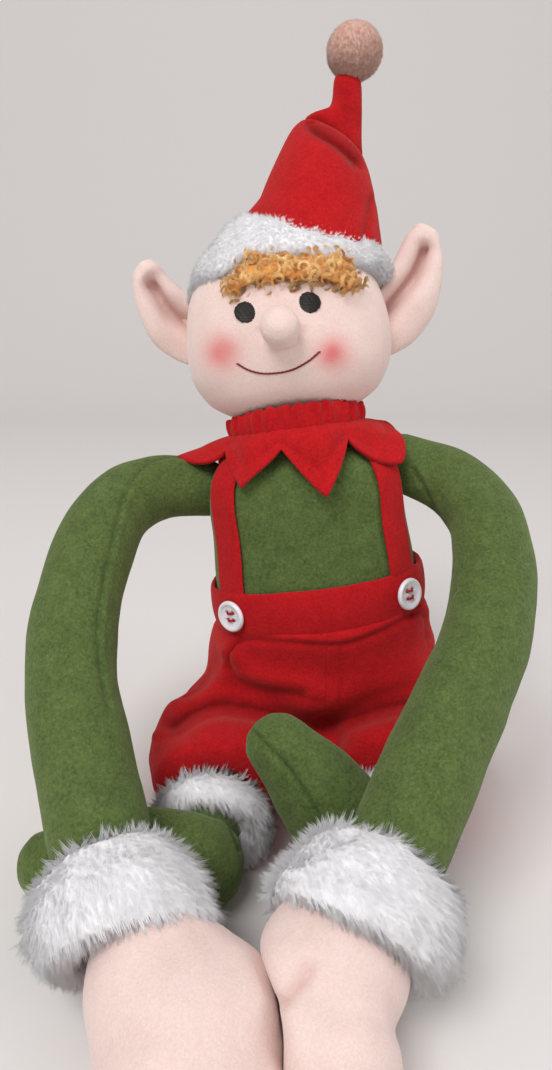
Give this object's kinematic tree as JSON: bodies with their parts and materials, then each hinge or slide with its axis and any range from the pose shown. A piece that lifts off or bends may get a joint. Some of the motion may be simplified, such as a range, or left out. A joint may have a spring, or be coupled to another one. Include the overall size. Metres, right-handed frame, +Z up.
{
  "type": "soft elf doll",
  "caption": "Seated stuffed elf doll in felt and fleece, with long arms, fur cuffs, pointed ears, a tall hat, a petal collar and braced shorts, jointed at head, hat and limbs.",
  "frame": {"origin": "on the floor under the middle of the seat, on the flat bottom of the shorts between the two legs", "axes": "+Z up, -Y the way the doll faces, +X the doll's own left"},
  "size_m": [0.2675, 0.3393, 0.4421],
  "materials": {
    "green_felt": "matte brushed felt",
    "red_felt": "matte felt",
    "skin_fleece": "short soft fleece",
    "white_plush": "long pile plush",
    "pale_plush": "short pile plush",
    "ginger_curls": "glossy curled fibre",
    "black_thread": "satin stitch",
    "dark_red_thread": "stitched thread",
    "red_thread": "sewing thread",
    "white_button": "gloss",
    "pellet_cloth": "plain woven cotton"
  },
  "bodies": {
    "torso": {"torso": "green_felt", "pellet_bag": "pellet_cloth", "waistband": "red_felt", "strap_right": "red_felt", "strap_left": "red_felt", "button_right": "white_button", "button_left": "white_button", "button_thread_right_upper": "red_thread", "button_thread_right_lower": "red_thread", "button_thread_left_upper": "red_thread", "button_thread_left_lower": "red_thread", "collar_band": "red_felt", "collar_petals": "red_felt", "shorts_body": "red_felt"},
    "neck": {"neck": "skin_fleece"},
    "head": {"head": "skin_fleece", "nose": "skin_fleece", "eye_right": "black_thread", "eye_left": "black_thread", "mouth_stitch": "dark_red_thread", "ear_right": "skin_fleece", "ear_left": "skin_fleece", "hair_fringe": "ginger_curls", "hat_band": "white_plush", "hat_cone": "red_felt"},
    "hat_tip": {"hat_tail": "red_felt", "pompom": "pale_plush"},
    "arm_right": {"upper_arm_right": "green_felt"},
    "forearm_right": {"forearm_right": "green_felt", "cuff_right": "white_plush"},
    "hand_right": {"hand_right": "skin_fleece"},
    "arm_left": {"upper_arm_left": "green_felt"},
    "forearm_left": {"forearm_left": "green_felt", "cuff_left": "white_plush"},
    "hand_left": {"hand_left": "skin_fleece"},
    "leg_right": {"leg_right": "skin_fleece", "shorts_leg_right": "red_felt", "trim_right": "white_plush", "shoe_right": "green_felt"},
    "leg_left": {"leg_left": "skin_fleece", "shorts_leg_left": "red_felt", "trim_left": "white_plush", "shoe_left": "green_felt"}
  },
  "joints": [
    {"name": "head_nod", "type": "hinge", "parent": "torso", "child": "neck", "pos_m": [-0.0187, 0.00426, 0.22285], "axis": [0.9914, 0, 0.1308], "range_deg": [-7, 7]},
    {"name": "head_turn", "type": "hinge", "parent": "neck", "child": "head", "pos_m": [-0.0187, 0.00426, 0.22285], "axis": [-0.1305, 0.0692, 0.989], "range_deg": [-35, 35]},
    {"name": "hat_flop", "type": "hinge", "parent": "head", "child": "hat_tip", "pos_m": [0.006, 0.045, 0.392], "axis": [0.9888, -0.06, 0.1369], "range_deg": [-25, 25]},
    {"name": "shoulder_right", "type": "hinge", "parent": "torso", "child": "arm_right", "pos_m": [-0.07256, 0.007, 0.19035], "axis": [1, 0, 0], "range_deg": [-80, 0]},
    {"name": "elbow_right", "type": "hinge", "parent": "arm_right", "child": "forearm_right", "pos_m": [-0.136, -0.073, 0.1345], "axis": [1, 0, 0], "range_deg": [-40, 0]},
    {"name": "wrist_right", "type": "hinge", "parent": "forearm_right", "child": "hand_right", "pos_m": [-0.0852, -0.19876, 0.0352], "axis": [1, 0, 0], "range_deg": [-15, 15]},
    {"name": "shoulder_left", "type": "hinge", "parent": "torso", "child": "arm_left", "pos_m": [0.04165, 0.00805, 0.20535], "axis": [1, 0, 0], "range_deg": [-80, 0]},
    {"name": "elbow_left", "type": "hinge", "parent": "arm_left", "child": "forearm_left", "pos_m": [0.0755, -0.08, 0.1305], "axis": [1, 0, 0], "range_deg": [-40, 0]},
    {"name": "wrist_left", "type": "hinge", "parent": "forearm_left", "child": "hand_left", "pos_m": [-0.00949, -0.19823, 0.03595], "axis": [1, 0, 0], "range_deg": [-15, 15]},
    {"name": "hip_right", "type": "hinge", "parent": "torso", "child": "leg_right", "pos_m": [-0.052, -0.01, 0.046], "axis": [1, 0, 0], "range_deg": [0, 70]},
    {"name": "hip_left", "type": "hinge", "parent": "torso", "child": "leg_left", "pos_m": [0.046, -0.01, 0.046], "axis": [1, 0, 0], "range_deg": [0, 70]}
  ]
}
